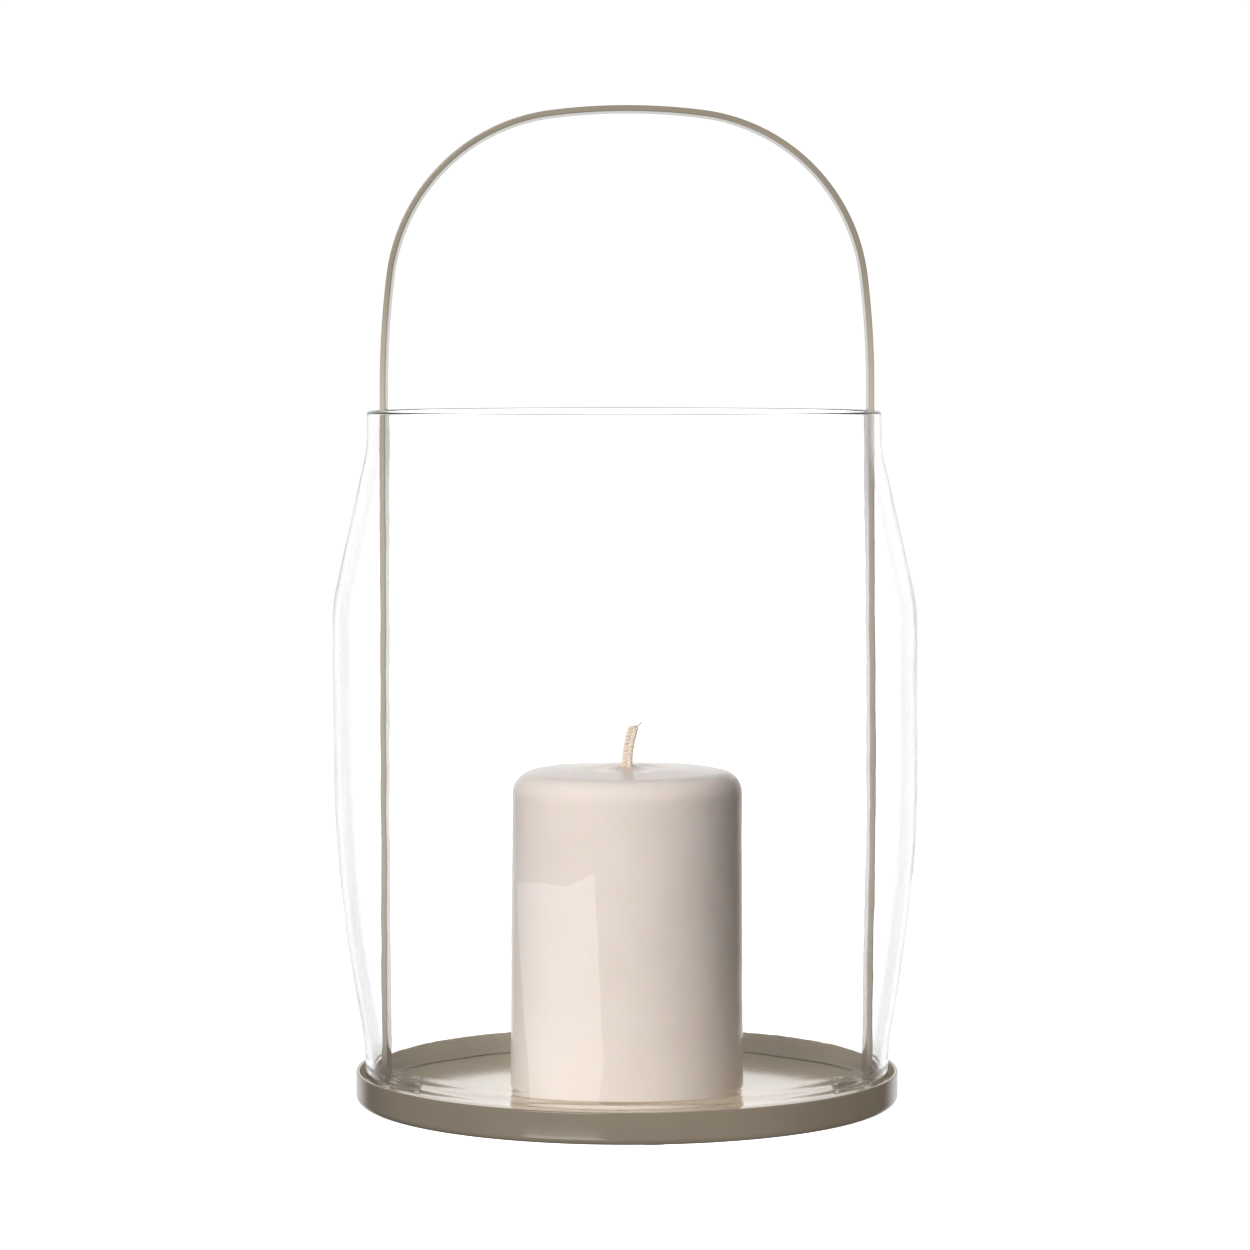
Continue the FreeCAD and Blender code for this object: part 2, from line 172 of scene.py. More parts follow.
def make_coat():
    """Satin greige powder coat with a faint orange peel, and dust specks on the tray's floor.

    The real coat is probably one colour. Here its tone changes with height, which is painted light
    and shade: the legs are painted lighter than the tray and the arch, to meet the photo's levels
    under this stage's light."""
    material, tree, shader = new_material("coat")
    cloud = noise_value(tree, 35, 4)
    point = add(tree, "ShaderNodeSeparateXYZ")
    tree.links.new(object_point(tree), point.inputs["Vector"])
    height = point.outputs["Z"]
    up_the_arch = remap(tree, height, ARCH_FROM, ARCH_FULL, 0, 1)
    # Painted light: by height, the coat is painted lighter on the legs and the arch.
    handle_painted_light_tone = blend_colours(
        tree, up_the_arch, clouded(tree, cloud, LEG_PAINTED_LIGHT_TONES), clouded(tree, cloud, ARCH_PAINTED_LIGHT_TONES))
    on_handle = remap(tree, height, LEGS_FROM, LEGS_FULL, 0, 1)
    tone = blend_colours(tree, on_handle, clouded(tree, cloud, TRAY_TONES), handle_painted_light_tone)
    specks = add(tree, "ShaderNodeTexVoronoi", Scale=260.0)
    tree.links.new(object_point(tree), specks.inputs["Vector"])
    speck = remap(tree, specks.outputs["Distance"], 0.05, 0.09, 1, 0)
    rare = remap(tree, noise_value(tree, 90, 1), 0.62, 0.66, 0, 1)
    floor_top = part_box("glass_shade")[0][2]
    near_floor = combine(tree, "COMPARE", height, floor_top)
    near_floor.node.inputs[2].default_value = DUST_WITHIN
    dust = combine(tree, "MULTIPLY", combine(tree, "MULTIPLY", speck, rare), near_floor)
    tree.links.new(blend_colours(tree, dust, tone, DUST_COLOUR), shader.inputs["Base Color"])
    shader.inputs["IOR"].default_value = 1.6
    shader.inputs["Specular Tint"].default_value = (1, 0.95, 0.88, 1)
    shader.inputs["Coat Weight"].default_value = 0.5
    shader.inputs["Coat Tint"].default_value = (1, 0.98, 0.94, 1)
    shader.inputs["Coat Roughness"].default_value = 0.1
    peel = noise_value(tree, 1100, 2)
    grain = noise_value(tree, 160, 3)
    tree.links.new(remap(tree, grain, 0.3, 0.7, 0.15, 0.17), shader.inputs["Roughness"])
    bump(tree, shader, peel, 0.02 * MM, 0.05)
    return material


def make_glass_material():
    """Clear, faintly rippled glass that takes up a little light where it is thick.

    Lamps shine straight through it, so what stands inside is lit."""
    material, tree, shader = new_material("clear_glass")
    shader.inputs["Base Color"].default_value = (0.997, 0.995, 0.993, 1)
    shader.inputs["Transmission Weight"].default_value = 1
    shader.inputs["IOR"].default_value = 1.45
    shader.inputs["Roughness"].default_value = 0
    ripple = noise_value(tree, 42, 2)
    fine = noise_value(tree, 140, 2)
    waves = combine(tree, "ADD", ripple, combine(tree, "MULTIPLY", fine, 0.15))
    bump(tree, shader, waves, 0.4 * MM, 0.1)
    output = tree.nodes["Material Output"]
    depth = add(tree, "ShaderNodeVolumeAbsorption", Density=20.0)
    depth.inputs["Color"].default_value = (0.3, 0.3, 0.34, 1)
    tree.links.new(depth.outputs["Volume"], output.inputs["Volume"])
    clear = tree.nodes.new("ShaderNodeBsdfTransparent")
    clear.inputs["Color"].default_value = (0.97, 0.975, 0.97, 1)
    path = tree.nodes.new("ShaderNodeLightPath")
    mix = tree.nodes.new("ShaderNodeMixShader")
    tree.links.new(path.outputs["Is Shadow Ray"], mix.inputs["Fac"])
    tree.links.new(shader.outputs["BSDF"], mix.inputs[1])
    tree.links.new(clear.outputs["BSDF"], mix.inputs[2])
    tree.links.new(mix.outputs["Shader"], output.inputs["Surface"])
    return material


WAX_TONES = (0.895, 0.795, 0.738), (0.915, 0.825, 0.775)
WICK_FOOT_PAINTED_SHADE = (0.72, 0.58, 0.46)


def make_wax():
    """Ivory wax that light goes into, with faint clouds and painted shade round the wick."""
    material, tree, shader = new_material("wax")
    cloud = noise_value(tree, 55, 5, 0.55)
    tone = clouded(tree, cloud, WAX_TONES)
    wick_low, wick_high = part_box("candle_wick")
    to_wick = add(tree, "ShaderNodeVectorMath")
    to_wick.operation = "DISTANCE"
    tree.links.new(object_point(tree), to_wick.inputs[0])
    wick_foot = (0, (wick_low[1] + wick_high[1]) / 2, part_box("candle_body")[1][2])
    to_wick.inputs[1].default_value = wick_foot
    # Painted shade: the wax darkens towards the wick's foot, where the pit round the wick lies in
    # shade.
    wick_painted_shade = remap(tree, to_wick.outputs["Value"], 1.5 * MM, 7 * MM, 0.55, 0)
    tree.links.new(blend_colours(tree, wick_painted_shade, tone, WICK_FOOT_PAINTED_SHADE), shader.inputs["Base Color"])
    shader.inputs["Specular IOR Level"].default_value = 0.045
    shader.inputs["Subsurface Weight"].default_value = 0.55
    shader.inputs["Subsurface Radius"].default_value = (1.0, 0.5, 0.3)
    shader.inputs["Subsurface Scale"].default_value = 4 * MM
    shader.inputs["IOR"].default_value = 1.44
    smear = noise_value(tree, 120, 3)
    tree.links.new(remap(tree, smear, 0.3, 0.7, 0.12, 0.16), shader.inputs["Roughness"])
    skin = combine(tree, "ADD", noise_value(tree, 300, 3), combine(tree, "MULTIPLY", cloud, 2.0))
    bump(tree, shader, skin, 0.1 * MM, 0.35)
    return material


COTTON_TONES = (0.88, 0.74, 0.61), (0.95, 0.84, 0.71)


def make_cotton():
    """Waxed cotton thread with lighter flecks."""
    material, tree, shader = new_material("wick_cotton")
    fleck = noise_value(tree, 1400, 3)
    tree.links.new(clouded(tree, fleck, COTTON_TONES), shader.inputs["Base Color"])
    shader.inputs["Subsurface Weight"].default_value = 0.2
    shader.inputs["Subsurface Radius"].default_value = (1.0, 0.7, 0.5)
    shader.inputs["Subsurface Scale"].default_value = 1 * MM
    shader.inputs["Sheen Weight"].default_value = 0.3
    tree.links.new(remap(tree, fleck, 0.3, 0.7, 0.7, 0.9), shader.inputs["Roughness"])
    bump(tree, shader, noise_value(tree, 5000, 2), 0.06 * MM, 0.6)
    return material


def make_metal(name, dark, light, roughness):
    """Plated sheet or turned steel with a faint drawn grain."""
    material, tree, shader = new_material(name)
    stretch = add(tree, "ShaderNodeVectorMath")
    stretch.operation = "MULTIPLY"
    stretch.inputs[1].default_value = (1, 1, 12)
    tree.links.new(object_point(tree), stretch.inputs[0])
    grain = noise_value(tree, 500, 4, 0.6, stretch.outputs["Vector"])
    tone = blend_colours(tree, remap(tree, grain, 0.3, 0.7, 0, 1), dark, light)
    tree.links.new(tone, shader.inputs["Base Color"])
    shader.inputs["Metallic"].default_value = 1
    rough = remap(tree, grain, 0.3, 0.7, roughness, roughness + 0.15)
    tree.links.new(rough, shader.inputs["Roughness"])
    bump(tree, shader, grain, 0.03 * MM, 0.5)
    return material


RUBBER_TONES = (0.15, 0.14, 0.125), (0.2, 0.185, 0.165)


def make_rubber():
    """Matte grey rubber with a fine moulded grain."""
    material, tree, shader = new_material("pad_rubber")
    cloud = noise_value(tree, 180, 4)
    tree.links.new(clouded(tree, cloud, RUBBER_TONES), shader.inputs["Base Color"])
    tree.links.new(remap(tree, cloud, 0.3, 0.7, 0.6, 0.8), shader.inputs["Roughness"])
    bump(tree, shader, noise_value(tree, 1800, 2), 0.08 * MM, 0.7)
    return material


# ---------------------------------------------------------------- mesh helpers

def rounded_outline(corners, step=math.radians(6), reach=2.5 * MM):
    """Points along an outline of (x, y, radius) corners, with each corner turned into an arc.

    Straight runs longer than reach are divided, so that they can be waved."""
    points = []
    last = len(corners) - 1
    for index, (x, y, radius) in enumerate(corners):
        here = Vector((x, y))
        if radius == 0 or index in (0, last):
            points.append(here)
            continue
        before = (Vector(corners[index - 1][:2]) - here).normalized()
        after = (Vector(corners[index + 1][:2]) - here).normalized()
        half = before.angle(after) / 2
        centre = here + (before + after).normalized() * radius / math.sin(half)
        start = here + before * radius / math.tan(half) - centre
        end = here + after * radius / math.tan(half) - centre
        turn = start.angle_signed(end)
        count = max(2, math.ceil(abs(turn) / step), math.ceil(abs(turn) * radius / reach))
        for number in range(count + 1):
            points.append(centre + Matrix.Rotation(-turn * number / count, 2) @ start)
    divided = [points[0]]
    for start, end in zip(points, points[1:]):
        count = max(1, round((end - start).length / reach))
        divided += [start.lerp(end, number / count) for number in range(1, count + 1)]
    return divided


def link(name, mesh, material):
    """A new object in the scene with this mesh and material."""
    piece = bpy.data.objects.new(name, mesh)
    mesh.materials.append(material)
    scene.collection.objects.link(piece)
    return piece


def lathe(name, outline, segments, material, shape=None, centre=(0, 0)):
    """Turns an outline of (radius, height) about Z. shape(radius, height, angle) may wave it.

    Points on the axis become one vertex; a closed outline repeats its first point."""
    built = bmesh.new()
    closed = (outline[0] - outline[-1]).length < NO_DISTANCE
    rings = []
    for radius, height in outline[:-1] if closed else outline:
        if radius < NO_DISTANCE:
            rings.append([built.verts.new((*centre, height))])
            continue
        ring = []
        for number in range(segments):
            angle = FULL_TURN * number / segments
            wide, high = shape(radius, height, angle) if shape else (radius, height)
            ring.append(built.verts.new((
                centre[0] + wide * math.cos(angle), centre[1] + wide * math.sin(angle), high)))
        rings.append(ring)
    pairs = list(zip(rings, rings[1:]))
    if closed:
        pairs.append((rings[-1], rings[0]))
    for lower, upper in pairs:
        for number in range(segments):
            after = (number + 1) % segments
            quad = [lower[number % len(lower)], lower[after % len(lower)],
                    upper[after % len(upper)], upper[number % len(upper)]]
            corners = list(dict.fromkeys(quad))
            if len(corners) > 2:
                built.faces.new(corners)
    return finish_mesh(name, built, material)


def sweep(built, stations, section):
    """Adds a capped tube to a bmesh: section(index) gives the ring of points at each station."""
    rings = [[built.verts.new(point) for point in section(index)] for index in range(stations)]
    for first, second in zip(rings, rings[1:]):
        for number in range(len(first)):
            after = (number + 1) % len(first)
            built.faces.new([first[number], first[after], second[after], second[number]])
    built.faces.new(rings[0][::-1])
    built.faces.new(rings[-1])


def finish_mesh(name, built, material, sharp_over=None):
    """Turns a bmesh into a smooth object; edges over an angle in degrees stay sharp."""
    bmesh.ops.recalc_face_normals(built, faces=built.faces)
    for face in built.faces:
        face.smooth = True
    mesh = bpy.data.meshes.new(name)
    built.to_mesh(mesh)
    built.free()
    if sharp_over is not None:
        mesh.set_sharp_from_angle(angle=math.radians(sharp_over))
    return link(name, mesh, material)


def place(piece, node, body):
    """The piece stands for a CAD node, whose solid it hides, and moves with its body."""
    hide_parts(node)
    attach(piece, body)


# ---------------------------------------------------------------- tray

SHEET = 1.2 * MM
FLOOR_EDGE = 78.9 * MM


def make_tray(material):
    """A pressed tray: wall with a rounded lip, foot ring, and a floor raised above the ring."""
    low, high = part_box("tray")
    outer = high[0]
    inner = outer - SHEET
    ring_under = low[2]
    lip = high[2]
    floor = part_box("glass_shade")[0][2]
    ring_inner = FLOOR_EDGE - SHEET
    outline = rounded_outline([
        (0, floor - SHEET, 0),
        (ring_inner, floor - SHEET, 0.3 * MM),
        (ring_inner, ring_under, 0.6 * MM),
        (outer, ring_under, 2.4 * MM),
        (outer, lip, 0.55 * MM),
        (inner, lip, 0.55 * MM),
        (inner, ring_under + SHEET, 0.8 * MM),
        (FLOOR_EDGE, ring_under + SHEET, 0.4 * MM),
        (FLOOR_EDGE, floor, 0.6 * MM),
        (0, floor, 0),
    ], reach=4 * MM)
    return lathe("tray_pressed", outline, 360, material)


# ---------------------------------------------------------------- handle

BAND_THICK = 1.7 * MM
BAND_EDGE = 0.4 * MM
TAB_BEND = 2.85 * MM
TAB_END = 62.3 * MM
ARCH_SPRING = 215 * MM
LEG_BOW, BOW_LOW, BOW_HIGH = 0.8 * MM, 12 * MM, 194 * MM
ARCH_SIDE, ARCH_CORNER, ARCH_CROWN = 275 * MM, 55.5 * MM, 178.5 * MM
SCREW_HOLE = 1.5 * MM


def arc_points(centre, radius, start, end, step):
    """Points along an arc, without its first one."""
    count = max(3, math.ceil(abs(end - start) * radius / step))
    angles = [start + (end - start) * number / count for number in range(1, count + 1)]
    return [Vector((centre[0] + radius * math.cos(angle), centre[1] + radius * math.sin(angle)))
            for angle in angles]


def band_path(leg, tab_height, crown_height):
    """Half of the band's centreline in X and Z: tab, bend, leg and three tangent arcs."""
    side = (leg - ARCH_SIDE, ARCH_SPRING)
    crown = (0, crown_height - ARCH_CROWN)
    # The corner arc's centre lies where it touches the side arc and the crown arc from inside.
    gap = math.dist(side, crown)
    near, far = ARCH_SIDE - ARCH_CORNER, ARCH_CROWN - ARCH_CORNER
    along = (near ** 2 - far ** 2 + gap ** 2) / (2 * gap)
    across = math.sqrt(near ** 2 - along ** 2)
    step = Vector((crown[0] - side[0], crown[1] - side[1])) / gap
    corner = Vector(side) + step * along + Vector((-step.y, step.x)) * across
    side_end = math.atan2(corner.y - side[1], corner.x - side[0])
    corner_end = math.atan2(corner.y - crown[1], corner.x - crown[0])
    bend = (leg - TAB_BEND, tab_height + TAB_BEND)
    points = [Vector((TAB_END, tab_height)), Vector((bend[0], tab_height))]
    points += arc_points(bend, TAB_BEND, -math.pi / 2, 0, 0.3 * MM)
    run = ARCH_SPRING - bend[1]
    points += [Vector((leg, bend[1] + run * number / 60)) for number in range(1, 61)]
    points += arc_points(side, ARCH_SIDE, 0, side_end, 1.5 * MM)
    points += arc_points(corner, ARCH_CORNER, side_end, corner_end, 1.2 * MM)
    points += arc_points(crown, ARCH_CROWN, corner_end, math.pi / 2, 1.5 * MM)
    return points


def leg_bow(point):
    """How far the right leg stands out from straight, as it does in the photo."""
    if point.x < 60 * MM or not BOW_LOW < point.y < BOW_HIGH:
        return 0
    return LEG_BOW * math.sin(math.pi * (point.y - BOW_LOW) / (BOW_HIGH - BOW_LOW)) ** 2


def rounded_section(half_width, half_thick, radius, per_corner=5):
    """Points round a rectangle with round corners, as (across, through)."""
    points = []
    for corner, (sx, sy) in enumerate(((1, 1), (-1, 1), (-1, -1), (1, -1))):
        for number in range(per_corner + 1):
            angle = math.radians(90) * (corner + number / per_corner)
            points.append((sx * (half_width - radius) + radius * math.cos(angle),
                           sy * (half_thick - radius) + radius * math.sin(angle)))
    return points


def make_handle(material):
    """One flat band from foot tab to foot tab, with softened edges and ends."""
    low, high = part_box("handle_band")
    half_thick = BAND_THICK / 2
    half_width = high[1]
    half = band_path(high[0] - half_thick, low[2] + half_thick, high[2] - half_thick)
    bowed = [Vector((point.x + leg_bow(point), point.y)) for point in half]
    path = bowed + [Vector((-point.x, point.y)) for point in half[-2::-1]]
    # Three stations close to each end shrink the section, which rounds the tab's end.
    turns = [math.radians(degrees) for degrees in (0, 30, 60)]
    ends = [(BAND_EDGE * (1 - math.cos(turn)), BAND_EDGE * (1 - math.sin(turn)))
            for turn in turns]
    start_way = (path[1] - path[0]).normalized()
    end_way = (path[-2] - path[-1]).normalized()
    stations = [(path[0] + start_way * shift, inset) for shift, inset in ends]
    stations.append((path[0] + start_way * BAND_EDGE, 0))
    stations += [(point, 0) for point in path[1:-1]]
    stations.append((path[-1] + end_way * BAND_EDGE, 0))
    stations += [(path[-1] + end_way * shift, inset) for shift, inset in ends[::-1]]
    places = [point for point, _ in stations]

    def section(index):
        before = places[max(0, index - 1)]
        after = places[min(len(places) - 1, index + 1)]
        way = (after - before).normalized()
        out = Vector((way.y, -way.x))
        inset = stations[index][1]
        outline = rounded_section(half_width - inset, half_thick - inset, BAND_EDGE - inset * 0.9)
        ring = []
        for across, through in outline:
            point = places[index] + out * through
            ring.append((point.x, across, point.y))
        return ring

    built = bmesh.new()
    sweep(built, len(places), section)
    return finish_mesh("handle_bent", built, material, 50)


def drill(piece, screw_box):
    """Cuts the tapped hole through a foot tab where a screw's tip comes up."""
    low, high = screw_box
    built = bmesh.new()
    bmesh.ops.create_cone(built, cap_ends=True, segments=40, radius1=SCREW_HOLE,
                          radius2=SCREW_HOLE, depth=20 * MM)
    middle = ((low[0] + high[0]) / 2, (low[1] + high[1]) / 2, high[2])
    bmesh.ops.translate(built, verts=built.verts, vec=middle)
    cutter_mesh = bpy.data.meshes.new("drill")
    built.to_mesh(cutter_mesh)
    built.free()
    cutter = bpy.data.objects.new("drill", cutter_mesh)
    scene.collection.objects.link(cutter)
    cut = piece.modifiers.new("hole", "BOOLEAN")
    cut.operation = "DIFFERENCE"
    cut.solver = "EXACT"
    cut.object = cutter
    bpy.context.view_layer.update()
    result = piece.evaluated_get(bpy.context.evaluated_depsgraph_get())
    drilled = bpy.data.meshes.new_from_object(result)
    piece.modifiers.remove(cut)
    piece.data = drilled
    bpy.data.objects.remove(cutter)


# ---------------------------------------------------------------- glass

GLASS_WALL = 2.1 * MM
NECK_WALL = 1.8 * MM
FOOT_RADIUS, RIM_RADIUS = 78.8 * MM, 76.9 * MM
GLASS_LEAN = 0.9 * MM
GLASS_WAVE, GLASS_RIPPLE = 0.3 * MM, 0.05 * MM
FOOT_RING, FOOT_RING_PITCH, FOOT_RINGS_TOP = 0.22 * MM, 2.8 * MM, 12 * MM


def make_glass(material):
    """A blown barrel, open at both ends, that waves a little and leans to the left.

    Faint rings inside its foot bend the far side of the tray, as the photo shows."""
    low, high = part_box("glass_shade")
    belly = high[0]
    bottom, top = low[2], high[2]
    # Radius, height, bend and wall; the inner bend is larger (1) or smaller (-1) by the wall.
    corners = [
        (FOOT_RADIUS, bottom, 0, GLASS_WALL, 0),
        (FOOT_RADIUS, bottom + 13.1 * MM, 80 * MM, GLASS_WALL, 1),
        (belly, bottom + 63 * MM, 430 * MM, GLASS_WALL, -1),
        (belly, bottom + 146.2 * MM, 50 * MM, GLASS_WALL, -1),
        (RIM_RADIUS, bottom + 193 * MM, 30 * MM, NECK_WALL, 1),
        (RIM_RADIUS, top, 0, NECK_WALL, 0),
    ]
    outer = [(radius, height, bend or 0.48 * wall) for radius, height, bend, wall, _ in corners]
    inner = [(radius - wall, height, bend + wall * sign if sign else 0.48 * wall)
             for radius, height, bend, wall, sign in corners]
    middle = FOOT_RADIUS - GLASS_WALL / 2
    loop = [(middle, bottom, 0)] + outer + inner[::-1] + [(middle, bottom, 0)]
    outline = rounded_outline(loop, reach=0.7 * MM)
    tall = top - bottom

    def shape(radius, height, angle):
        up = (height - bottom) / tall
        held = math.sin(math.pi * min(1, max(0, up))) ** 0.5
        around = Vector((math.cos(angle), math.sin(angle), 0))
        wave = noise.noise(around * 1.6 + Vector((3, 7, up * 4)))
        ripple = noise.noise(around * 7 + Vector((1, 2, up * 16)))
        shift = held * (GLASS_WAVE * wave + GLASS_RIPPLE * ripple)
        lean = -GLASS_LEAN * up * math.cos(angle)
        above = height - bottom
        if above < FOOT_RINGS_TOP and radius < middle:
            fade = 1 - above / FOOT_RINGS_TOP
            shift += FOOT_RING * fade * math.sin(FULL_TURN * above / FOOT_RING_PITCH)
        return radius + shift + lean, height

    return lathe("glass_barrel", outline, 256, material, shape)


# ---------------------------------------------------------------- candle

SHOULDER_RADIUS = 34.4 * MM
CANDLE_WAVE, CANDLE_RIPPLE = 0.16 * MM, 0.05 * MM
WICK_RING, RING_RADIUS, RING_SPREAD = 0.5 * MM, 2.9 * MM, 0.8 * MM
WICK_PIT, PIT_RADIUS, PIT_SPREAD = 0.4 * MM, 7.0 * MM, 3.5 * MM
CRUMB = 0.5 * MM
OUTER_PART = 20 * MM


def bell(distance, spread):
    """1 at no distance, fading to 0 a few spreads away."""
    return math.exp(-(distance / spread) ** 2)


def make_candle(material):
    """A pillar with a soft shoulder, a wax pucker round the wick and an uneven foot."""
    low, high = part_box("candle_body")
    centre = ((low[0] + high[0]) / 2, (low[1] + high[1]) / 2)
    foot = (high[0] - low[0]) / 2
    bottom, top = low[2], high[2]
    outline = rounded_outline([
        (0, bottom + 0.3 * MM, 0),
        (8 * MM, bottom + 0.3 * MM, 0),
        (8.5 * MM, bottom, 0),
        (foot, bottom, 2.4 * MM),
        (SHOULDER_RADIUS, top - 1.6 * MM, 6.5 * MM),
        (16 * MM, top - 0.55 * MM, 30 * MM),
        (0, top - 0.1 * MM, 0),
    ], reach=1.1 * MM)

    def shape(radius, height, angle):
        around = Vector((math.cos(angle), math.sin(angle), 0))
        point = Vector((radius * math.cos(angle), radius * math.sin(angle), height))
        soft = noise.noise(point * 45) * CANDLE_WAVE + noise.noise(point * 160) * CANDLE_RIPPLE
        wide, high_at = radius, height
        if height > top - 5 * MM:
            ring = bell(radius - RING_RADIUS, RING_SPREAD)
            pit = bell(radius - PIT_RADIUS, PIT_SPREAD)
            lumps = 0.7 + 1.1 * noise.noise(around * 3.2)
            high_at += ring * WICK_RING * lumps - pit * WICK_PIT + soft * 1.3
        if radius > OUTER_PART:
            wide += soft
            if bottom + 0.1 * MM < height < bottom + 1.2 * MM:
                wide += CRUMB * noise.noise(around * 26 + Vector((0, 0, height * 400)))
        return wide, high_at

    return lathe("candle_pillar", outline, 300, material, shape, centre)


WICK_BEND = 37 * MM
WICK_ABOVE_WAX = 13.0 * MM
CORE_RADIUS = 1.2 * MM
STRAND_RADIUS = 0.6 * MM
STRAND_STEP = 0.22 * MM
PLAIT_PITCH = 3.4 * MM
PLAIT_ACROSS, PLAIT_THROUGH = 1.12 * MM, 0.38 * MM
WISP_THREADS, TOP_FIBRES, SIDE_FIBRES = 5, 26, 14


def wick_line(base, bend_height):
    """A function of the distance up the wick that gives the point and the direction there.

    The wick bends to the right above the wax."""
    def at(distance):
        straight = bend_height - base.z
        if distance <= straight:
            return base + Vector((0, 0, distance)), Vector((0, 0, 1))
        turn = (distance - straight) / WICK_BEND
        point = Vector((base.x + WICK_BEND * (1 - math.cos(turn)), base.y,
                        bend_height + WICK_BEND * math.sin(turn)))
        return point, Vector((math.sin(turn), 0, math.cos(turn)))
    return at


def add_thread(built, points, radius, sides, ridges=0, twist=0.0, taper=0.0):
    """A tube along the points, thinner by taper at its end; ridges look like twisted fibres."""
    count = len(points)

    def section(index):
        before = points[max(0, index - 1)]
        after = points[min(count - 1, index + 1)]
        way = (after - before).normalized()
        across = way.cross(Vector((0, 1, 0)))
        across = across.normalized() if across.length > 1e-6 else Vector((1, 0, 0))
        through = way.cross(across).normalized()
        share = index / (count - 1)
        size = radius * (1 - taper * share)
        ring = []
        for number in range(sides):
            angle = FULL_TURN * number / sides
            groove = 1 + (0.09 * math.cos(ridges * angle + twist * index) if ridges else 0)
            way_out = across * math.cos(angle) + through * math.sin(angle)
            ring.append(points[index] + way_out * size * groove)
        return ring

    sweep(built, count, section)


def make_wick(material):
    """A flat plait of three strands, cut at a slant, with loose fibres at its top and sides."""
    low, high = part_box("candle_wick")
    wax_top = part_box("candle_body")[1][2]
    base = Vector((0, (low[1] + high[1]) / 2, low[2] + 1 * MM))
    line = wick_line(base, wax_top)
    length = wax_top - base.z + WICK_ABOVE_WAX
    plait_from = wax_top - base.z - 6 * MM
    rng = random.Random(7)
    built = bmesh.new()
    for strand in range(3):
        phase = FULL_TURN * strand / 3
        end = length - (0.5 + 0.4 * strand) * MM
        count = int((end - plait_from) / STRAND_STEP)
        points = []
        for number in range(count + 1):
            distance = plait_from + (end - plait_from) * number / count
            point, way = line(distance)
            across = Vector((way.z, 0, -way.x))
            wave = FULL_TURN * distance / PLAIT_PITCH + phase
            points.append(point + across * PLAIT_ACROSS * math.sin(wave)
                          + Vector((0, PLAIT_THROUGH, 0)) * math.sin(2 * wave))
        add_thread(built, points, STRAND_RADIUS, 18, ridges=6, twist=0.35, taper=0.12)
    # The part inside the wax is one plain core, which reaches a little into the plait.
    core = [line(plait_from * number / 12)[0] for number in range(12)]
    core.append(line(plait_from + 0.3 * MM)[0])
    add_thread(built, core, CORE_RADIUS, 16)
    for _ in range(TOP_FIBRES):
        side = rng.uniform(-1.3, 1.4) * MM
        root = line(length - rng.uniform(0.8, 2.6) * MM)[0]
        start = root + Vector((side, rng.uniform(-0.4, 0.4) * MM, 0))
        reach = rng.uniform(0.6, 1.8) * MM
        lean = Vector((rng.uniform(0.1, 1.0), rng.uniform(-0.4, 0.4), rng.uniform(0.5, 1.1)))
        lean = lean.normalized()
        curl = Vector((rng.uniform(0.1, 0.7), rng.uniform(-0.3, 0.3), rng.uniform(-0.3, 0.2)))
        points = [start + lean * reach * t / 6 + curl * reach * (t / 6) ** 2 * 0.5
                  for t in range(7)]
        add_thread(built, points, rng.uniform(0.03, 0.07) * MM, 6, taper=0.7)
    # A drawn-out wisp points to the upper right.
    for number in range(WISP_THREADS):
        beside = Vector((0.5 * MM + 0.12 * MM * number, 0.1 * MM * (number - 2), 0))
        start = line(length - 1.0 * MM)[0] + beside
        lean = Vector((2.1 * MM, 0.06 * MM * (number - 2), 1.55 * MM)) * rng.uniform(0.8, 1.0)
        points = [start + lean * t / 8 + Vector((0, 0, 0.25 * MM * (t / 8) ** 2))
                  for t in range(9)]
        add_thread(built, points, 0.1 * MM, 8, taper=0.8)
    for _ in range(SIDE_FIBRES):
        distance = rng.uniform(plait_from + 6.5 * MM, length - 2 * MM)
        side = rng.choice((-1, 1))
        point, way = line(distance)
        across = Vector((way.z, 0, -way.x)) * side
        start = point + across * 1.35 * MM
        points = []
        for t in range(6):
            rise = Vector((0, 0, rng.uniform(-0.1, 0.2) * MM * t / 5))
            points.append(start + across * 0.5 * MM * t / 5 + rise)
        add_thread(built, points, 0.035 * MM, 5, taper=0.6)
    return finish_mesh("wick_plait", built, material)


# ---------------------------------------------------------------- stage and light

WHITE = (1.0, 1.0, 1.0)
WARM = (1.0, 0.93, 0.87)
FLOOR_RADIUS = 0.6
FLOOR_TONES = (0.09, 0.09, 0.09), (0.11, 0.11, 0.11)
FLOOR_GLOW = 0.05
KEY_AZIMUTH, KEY_HEIGHT, KEY_DISTANCE = -27.0, 23.0, 1.6
KEY_SIZE = 0.84
LAMP_AIM = Vector((0, 0, 0.1))
KEY_POWER = 21.6
IMAGE_AZIMUTH, IMAGE_HEIGHT = -27.0, 30.0
IMAGE_POWER, TABLE_IMAGE_POWER = 9.0, 5.0
INNER_FILL_POWER, INNER_FILL_HEIGHT, INNER_FILL_RADIUS = 0.63, 85 * MM, 15 * MM
# The picture cuts levels off at white, 1.0. BACKDROP is the level seen through the glass and on
# the floor, so bright that the glass stays clear. EDGE_LEVEL is what the outside of the glass
# mirrors; it is a little below white, which draws the outline. BACKGROUND is the level seen past
# everything, and BEHIND is what the world's shares add up to behind the object.
BACKDROP = 1.9
EDGE_LEVEL = 0.86
BACKGROUND = 1.02
BEHIND = 1.4


